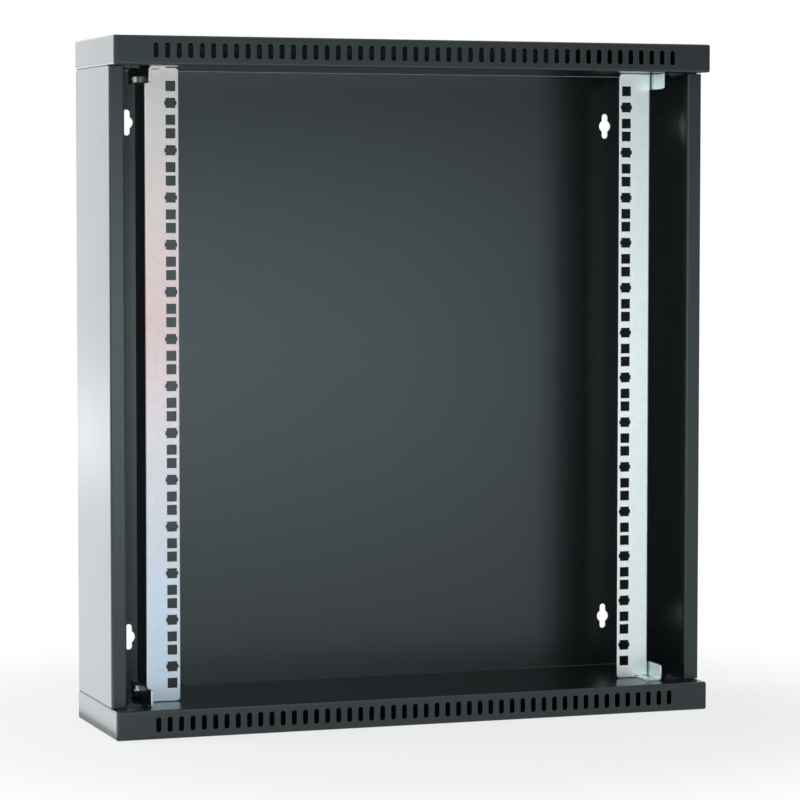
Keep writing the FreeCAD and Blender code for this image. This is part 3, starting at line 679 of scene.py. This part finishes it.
def blind_rivet(name, tail):
    """A rivet from its tail to its domed head, with the broken pin in its open middle."""
    neck = [round_ring(0, RIVET_RADIUS), round_ring(0, RIVET_HEAD / 2 - RIVET_UNDERCUT)]
    head = dome_rings(RIVET_HEAD, RIVET_RISE, RIVET_FLAT, steps=5)
    top = head[-1][0]
    middle = [
        round_ring(top - MOUTH_DEPTH, MOUTH_RADIUS),
        round_ring(top - HOLE_DEPTH, HOLE_RADIUS),
        round_ring(top - HOLE_DEPTH, PIN_RADIUS),
        round_ring(top - PIN_TOP, PIN_TOP_RADIUS),
    ]
    return loft(name, tail + neck + head + middle)


foot_tail = [round_ring(-FOOT_STACK - depth, radius) for depth, radius in TAIL_PROFILE]
back_tail = [
    round_ring(-BACK_STACK, RIVET_RADIUS - RIVET_CHAMFER),
    round_ring(-BACK_STACK + RIVET_CHAMFER, RIVET_RADIUS),
]
BRACKET_RIVET = blind_rivet("bracket_rivet", foot_tail)
BACK_RIVET = blind_rivet("back_rivet", back_tail)

# %% [markdown]
# ## Rows of fasteners
# Geometry Nodes set the fasteners out. A Mesh Line gives the places of one row, each place gets
# the form as an instance, and the instances are turned to their axis and spun a little about
# it, because nobody lines screws up. Rows come in pairs: one at the bottom cover and one at the
# top, with its own turn. Realize Instances makes it one mesh, which leaves the modifier behind.
# Copying the objects one by one would do too, but one tree serves all ten CAD nodes.

# %% Row tree
ROW_INPUTS = {
    "Form": "NodeSocketGeometry",
    "Step": "NodeSocketVector",
    "Lower Count": "NodeSocketInt",
    "Lower Start": "NodeSocketVector",
    "Lower Turn": "NodeSocketVector",
    "Upper Count": "NodeSocketInt",
    "Upper Start": "NodeSocketVector",
    "Upper Turn": "NodeSocketVector",
    "Spin": "NodeSocketFloat",
    "Seed": "NodeSocketInt",
    "Finish": "NodeSocketMaterial",
}


def add_row(tree, start, row):
    """Nodes of one row, Lower or Upper, from its places to its spun instances."""
    line = add_node(tree, "GeometryNodeMeshLine", mode="OFFSET")
    copies = add_node(tree, "GeometryNodeInstanceOnPoints")
    spin = add_node(tree, "FunctionNodeRandomValue", data_type="FLOAT")
    about = add_node(tree, "ShaderNodeCombineXYZ")
    spun = add_node(tree, "GeometryNodeRotateInstances")
    link(
        tree,
        (start.outputs[f"{row} Count"], line.inputs["Count"]),
        (start.outputs[f"{row} Start"], line.inputs["Start Location"]),
        (start.outputs["Step"], line.inputs["Offset"]),
        (line.outputs["Mesh"], copies.inputs["Points"]),
        (start.outputs["Form"], copies.inputs["Instance"]),
        (start.outputs[f"{row} Turn"], copies.inputs["Rotation"]),
        (start.outputs["Spin"], spin.inputs[3]),
        (start.outputs["Seed"], spin.inputs["Seed"]),
        (spin.outputs[1], about.inputs["Z"]),
        (copies.outputs["Instances"], spun.inputs["Instances"]),
        (about.outputs["Vector"], spun.inputs["Rotation"]),
    )
    return spun.outputs["Instances"]


def make_row_tree():
    tree = bpy.data.node_groups.new("fastener_rows", "GeometryNodeTree")
    for name, kind in ROW_INPUTS.items():
        tree.interface.new_socket(name, in_out="INPUT", socket_type=kind)
    tree.interface.new_socket("Geometry", in_out="OUTPUT", socket_type="NodeSocketGeometry")
    start = add_node(tree, "NodeGroupInput")
    end = add_node(tree, "NodeGroupOutput")
    both = add_node(tree, "GeometryNodeJoinGeometry")
    for row in ("Lower", "Upper"):
        link(tree, (add_row(tree, start, row), both.inputs["Geometry"]))
    real = add_node(tree, "GeometryNodeRealizeInstances")
    finish = add_node(tree, "GeometryNodeSetMaterial")
    link(
        tree,
        (both.outputs["Geometry"], real.inputs["Geometry"]),
        (real.outputs["Geometry"], finish.inputs["Geometry"]),
        (start.outputs["Finish"], finish.inputs["Material"]),
        (finish.outputs["Geometry"], end.inputs["Geometry"]),
    )
    return tree


ROW_TREE = make_row_tree()
print(ROW_TREE.name, "has", len(ROW_TREE.nodes), "nodes")

# %% [markdown]
# The tree runs on a helper object that is deleted afterwards. Its inputs are set by the sockets'
# identifiers, before the object is first evaluated. The result is kept as a plain mesh: it rides
# on the cabinet's only body, and stands for the simpler CAD node of the same fasteners.


# %% Row builder
def set_out(node, form, slot, **values):
    """Run the row tree on a form, and let the plain mesh it makes stand for a CAD node."""
    worker = bpy.data.objects.new("row_worker", form.copy())
    bpy.context.scene.collection.objects.link(worker)
    modifier = worker.modifiers.new("rows", "NODES")
    modifier.node_group = ROW_TREE
    values["finish"] = FINISHES[slot]
    for item in ROW_TREE.interface.items_tree:
        key = item.name.lower().replace(" ", "_")
        if item.in_out == "INPUT" and key in values:
            modifier[item.identifier] = values[key]
    depsgraph = bpy.context.evaluated_depsgraph_get()
    mesh = bpy.data.meshes.new_from_object(worker.evaluated_get(depsgraph), depsgraph=depsgraph)
    bpy.data.objects.remove(worker)
    mesh.name = node + "_detail"
    piece = bpy.data.objects.new(node + "_detail", mesh)
    bpy.context.scene.collection.objects.link(piece)
    for polygon in mesh.polygons:
        polygon.use_smooth = False
    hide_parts(node)
    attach(piece, "root")
    print(piece.name, len(mesh.polygons), "faces")


# %% [markdown]
# ## Setting the fasteners out
# Each row starts where the CAD node's box says. The bolts lie across the rail's side flange, the
# panel screws stand in the tabs, two front to back at each cover, and the rivets run up the back.
# The brackets' feet are at opposite ends of their legs, so their rivets start at the front on
# one cover and towards the rear on the other.

# %% Bolts and nuts of the rails
QUARTER_TURN = math.pi / 2
HALF_TURN = math.pi
NO_TURN = (0.0, 0.0, 0.0)
NO_STEP = (0.0, 0.0, 0.0)


def make_rail_rows(side_name, side, seed):
    """Bolts and nuts of one rail, with their axes across the cabinet."""
    corner = BOLT_FLATS / math.sqrt(3) * MM
    for kind, form, head, spin in (
        ("rail_bolts", HEX_BOLT, BOLT_HEAD, 0.5),
        ("rail_nuts", HEX_NUT, 0.0, 0.12),
    ):
        node = f"{side_name}_{kind}"
        low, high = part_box(node)
        inner = low[0] if side > 0 else high[0]
        seat = inner + side * head * MM
        middle = (low[1] + high[1]) / 2
        turn = (0.0, side * QUARTER_TURN, 0.0)
        set_out(
            node, form, "zinc_fastener", seed=seed, spin=spin, step=NO_STEP,
            lower_count=1, lower_start=(seat, middle, low[2] + corner), lower_turn=turn,
            upper_count=1, upper_start=(seat, middle, high[2] - corner), upper_turn=turn,
        )


# %% Screws of the side panels
def make_cover_rows(side_name, seed):
    """Screws of one side panel's tabs, heads towards the bay."""
    node = f"{side_name}_panel_screws"
    low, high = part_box(node)
    across = (low[0] + high[0]) / 2
    front = low[1] + SCREW_HEAD / 2 * MM
    step = high[1] - SCREW_HEAD / 2 * MM - front
    seat = SCREW_LENGTH * MM
    set_out(
        node, SOCKET_SCREW, "black_fastener", seed=seed, spin=1.0, step=(0.0, step, 0.0),
        lower_count=2, lower_start=(across, front, low[2] + seat), lower_turn=NO_TURN,
        upper_count=2, upper_start=(across, front, high[2] - seat),
        upper_turn=(HALF_TURN, 0.0, 0.0),
    )


# %% Rivets of the brackets
FOOT_PITCH = 19.5 * MM


def make_foot_rows(side_name, side, seed):
    """Rivets of one side's two bracket feet."""
    node = f"{side_name}_bracket_rivets"
    low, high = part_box(node)
    across = (low[0] + high[0]) / 2
    rise = (FOOT_STACK + TAIL_HEIGHT) * MM
    front = low[1] + RIVET_HEAD / 2 * MM
    rear = high[1] - RIVET_HEAD / 2 * MM - FOOT_PITCH
    bottom, top = (front, rear) if side > 0 else (rear, front)
    set_out(
        node, BRACKET_RIVET, "zinc_fastener", seed=seed, spin=1.0, step=(0.0, FOOT_PITCH, 0.0),
        lower_count=2, lower_start=(across, bottom, low[2] + rise), lower_turn=NO_TURN,
        upper_count=2, upper_start=(across, top, high[2] - rise),
        upper_turn=(HALF_TURN, 0.0, 0.0),
    )


# %% Rivets of the back panel
BACK_RIVETS = 5


def make_back_row(side_name, seed):
    """Rivets up one edge of the back panel, heads to the front."""
    node = f"{side_name}_back_rivets"
    low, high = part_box(node)
    across = (low[0] + high[0]) / 2
    face = low[1] + RIVET_RISE * MM
    bottom = low[2] + RIVET_HEAD / 2 * MM
    step = (high[2] - RIVET_HEAD / 2 * MM - bottom) / (BACK_RIVETS - 1)
    set_out(
        node, BACK_RIVET, "black_fastener", seed=seed, spin=1.0, step=(0.0, 0.0, step),
        lower_count=BACK_RIVETS, lower_start=(across, face, bottom),
        lower_turn=(QUARTER_TURN, 0.0, 0.0),
        upper_count=0, upper_start=(across, face, bottom), upper_turn=NO_TURN,
    )


# %% Both sides
for seed, (side_name, side) in enumerate((("left", -1), ("right", 1))):
    make_rail_rows(side_name, side, seed)
    make_cover_rows(side_name, seed + 10)
    make_foot_rows(side_name, side, seed + 20)
    make_back_row(side_name, seed + 30)

# %% [markdown]
# ## The studio
# The cabinet stands on a white floor in a white room. A backdrop that is lit until it is white
# would also light the cabinet. Light Path keeps the two apart: it says what kind of ray asks.
# Rays from the camera, rays that mirror in metal or paint, and rays through something clear see
# the background as plain white at strength 1, and all other rays only get the room's soft light.


# %% Which rays see white
def sees_white(tree, place, mirrored=1.0):
    """1 for rays that see the background. mirrored is a number or socket for mirrored ones."""
    x, y = place
    path = add_node(tree, "ShaderNodeLightPath", place)
    glossy = math_node(tree, "MULTIPLY", path.outputs["Is Glossy Ray"], mirrored, (x + 200, y))
    either = math_node(tree, "MAXIMUM", path.outputs["Is Camera Ray"], glossy, (x + 400, y))
    return math_node(tree, "MAXIMUM", either, path.outputs["Is Transmission Ray"], (x + 600, y))


# %% [markdown]
# ## White floor
# Paper that is lit evenly glows white and still takes a soft shadow where something stands on
# it. The floor's material mixes plain paper, which darkens in the shadow, with a white glow. The
# glow takes over with distance, so the paper runs into the white room without an edge.

# %% Floor
FLOOR_REACH = 30.0
FLOOR_DROP = 0.0005
PAPER = (0.93, 0.93, 0.93, 1)
PAPER_ROUGHNESS = 0.9
SHADOW_REACH = (0.33, 0.65)
GLOW_NEAR = 0.77


def make_floor_paper():
    """White paper that turns into a white glow between the two distances of SHADOW_REACH."""
    material, tree, shader = new_material("white_paper")
    shader.inputs["Base Color"].default_value = PAPER
    shader.inputs["Roughness"].default_value = PAPER_ROUGHNESS
    shader.inputs["Specular IOR Level"].default_value = 0.0
    where = add_node(tree, "ShaderNodeTexCoord", (-900, -300))
    far = add_node(tree, "ShaderNodeVectorMath", (-700, -300), operation="LENGTH")
    glow = add_node(
        tree, "ShaderNodeMapRange", (-500, -300), interpolation_type="SMOOTHSTEP",
        from_min=SHADOW_REACH[0], from_max=SHADOW_REACH[1], to_min=GLOW_NEAR,
    )
    seen = sees_white(tree, (-1100, -600))
    share = math_node(tree, "MULTIPLY", glow.outputs["Result"], seen, (-300, -300))
    white = add_node(tree, "ShaderNodeEmission", (-300, -500))
    both = add_node(tree, "ShaderNodeMixShader", (0, -300))
    output = next(node for node in tree.nodes if node.type == "OUTPUT_MATERIAL")
    link(
        tree,
        (where.outputs["Object"], far.inputs[0]),
        (far.outputs["Value"], glow.inputs["Value"]),
        (share, both.inputs["Fac"]),
        (shader.outputs["BSDF"], both.inputs[1]),
        (white.outputs["Emission"], both.inputs[2]),
        (both.outputs["Shader"], output.inputs["Surface"]),
    )
    return material


def make_floor():
    """A square sheet, a hair below the cabinet so that the two faces don't flicker."""
    mesh = bpy.data.meshes.new("floor")
    signs = ((-1, -1), (1, -1), (1, 1), (-1, 1))
    corners = [(x * FLOOR_REACH, y * FLOOR_REACH, 0) for x, y in signs]
    mesh.from_pydata(corners, [], [(0, 1, 2, 3)])
    mesh.materials.append(make_floor_paper())
    floor = bpy.data.objects.new("floor", mesh)
    floor.location.z = -FLOOR_DROP
    bpy.context.scene.collection.objects.link(floor)


make_floor()
print("floor", 2 * FLOOR_REACH, "m wide")

# %% [markdown]
# ## World
# The world is the room round the cabinet. It is white where the background is seen, and sheds a
# soft light that is much dimmer than white on everything else. One corner of the room, low down
# at the front right, is unlit: what mirrors that corner shows the dim room and not white. In a
# real studio a black card stands there for the same reason, because black paint only looks
# black where it has something dark to mirror.

# %% World
WHITE = (1, 1, 1, 1)
ROOM_COLOUR = (0.93, 0.98, 1, 1)
ROOM_LIGHT = 0.28
# On each axis of the direction, where the corner starts and ends, and its share at either end.
UNLIT_CORNER = {
    "X": {"from_min": -0.1, "from_max": 0.2, "to_min": 0.0, "to_max": 1.0},
    "Y": {"from_min": -0.35, "from_max": 0.05, "to_min": 1.0, "to_max": 0.0},
    "Z": {"from_min": 0.35, "from_max": 0.6, "to_min": 1.0, "to_max": 0.0},
}


def lit_share(tree):
    """1 in the lit part of the room and 0 in its unlit corner, by the direction that is seen."""
    direction = add_node(tree, "ShaderNodeTexCoord", (-1700, 300))
    split = add_node(tree, "ShaderNodeSeparateXYZ", (-1500, 300))
    link(tree, (direction.outputs["Generated"], split.inputs["Vector"]))
    corner = 1.0
    for axis, fade in UNLIT_CORNER.items():
        side = add_node(
            tree, "ShaderNodeMapRange", (-1300, 300), interpolation_type="SMOOTHSTEP", **fade
        )
        link(tree, (split.outputs[axis], side.inputs["Value"]))
        corner = math_node(tree, "MULTIPLY", side.outputs["Result"], corner, (-1100, 300))
    return math_node(tree, "SUBTRACT", 1.0, corner, (-900, 300))


def make_world():
    world = bpy.data.worlds.new("studio")
    world.use_nodes = True
    tree = world.node_tree
    tree.nodes.clear()
    white = add_node(tree, "ShaderNodeBackground", (0, 150))
    white.inputs["Color"].default_value = WHITE
    room = add_node(tree, "ShaderNodeBackground", (0, -50), strength=ROOM_LIGHT)
    room.inputs["Color"].default_value = ROOM_COLOUR
    both = add_node(tree, "ShaderNodeMixShader", (250, 0))
    output = add_node(tree, "ShaderNodeOutputWorld", (450, 0))
    link(
        tree,
        (sees_white(tree, (-700, 300), lit_share(tree)), both.inputs["Fac"]),
        (room.outputs["Background"], both.inputs[1]),
        (white.outputs["Background"], both.inputs[2]),
        (both.outputs["Shader"], output.inputs["Surface"]),
    )
    bpy.context.scene.world = world


make_world()
print("world gives", ROOM_LIGHT, "of white to the cabinet")

# %% [markdown]
# ## Lamps
# Area lamps are the soft boxes of a studio: the larger the box, the softer the light. Two panels
# at the left and the left rear make the dark left side look pale. That side mirrors the floor in
# its lower half, so a third panel lies on the floor there. The boxes in front give the back
# panel its glow, and the rear and high panels draw the edges. Sun and point lamps would give
# hard shadows.

# %% Lamps
MIDDLE = (0.0, 0.0, 0.33)
DAYLIGHT = (0.94, 0.97, 1.0)
# Each row is a name, a place, the point that it faces, its width and height, and its watts.
LAMPS = [
    ("left_panel", (-2.3, 0.8, 0.9), MIDDLE, (1.2, 1.8), 35.0),
    ("left_rear_panel", (-2.2, 2.0, 0.9), MIDDLE, (1.8, 2.0), 16.0),
    ("rear_panel", (-0.7, 2.6, 0.8), MIDDLE, (1.0, 1.6), 8.5),
    ("floor_panel", (-1.21, 2.4, 0.002), (-1.21, 2.4, 1.0), (1.8, 5.6), 50.0),
    ("front_left_panel", (-1.0, -2.8, 0.9), MIDDLE, (1.6, 1.8), 7.0),
    ("low_front_box", (0.1, -2.5, 0.28), MIDDLE, (0.6, 0.55), 3.1),
    ("middle_front_box", (0.65, -2.5, 0.26), MIDDLE, (0.6, 0.5), 1.5),
    ("high_front_panel", (0.3, -2.2, 2.2), MIDDLE, (1.8, 1.0), 6.0),
    ("right_front_box", (1.1, -2.5, 0.3), MIDDLE, (0.6, 0.6), 0.9),
]


def make_lamp(name, place, aim, size, power):
    data = bpy.data.lights.new(name, "AREA")
    data.shape = "RECTANGLE"
    data.size, data.size_y = size
    data.energy = power
    data.color = DAYLIGHT
    lamp = bpy.data.objects.new(name, data)
    lamp.location = place
    lamp.rotation_euler = (Vector(aim) - Vector(place)).to_track_quat("-Z", "Y").to_euler()
    bpy.context.scene.collection.objects.link(lamp)


for row in LAMPS:
    make_lamp(*row)
print(len(LAMPS), "lamps,", sum(power for *_, power in LAMPS), "W")

# %% [markdown]
# ## Closing lines
# The Standard view shows colours as they are written, with no film curve over them.

# %% View settings
bpy.context.scene.view_settings.view_transform = "Standard"
print("view:", bpy.context.scene.view_settings.view_transform)
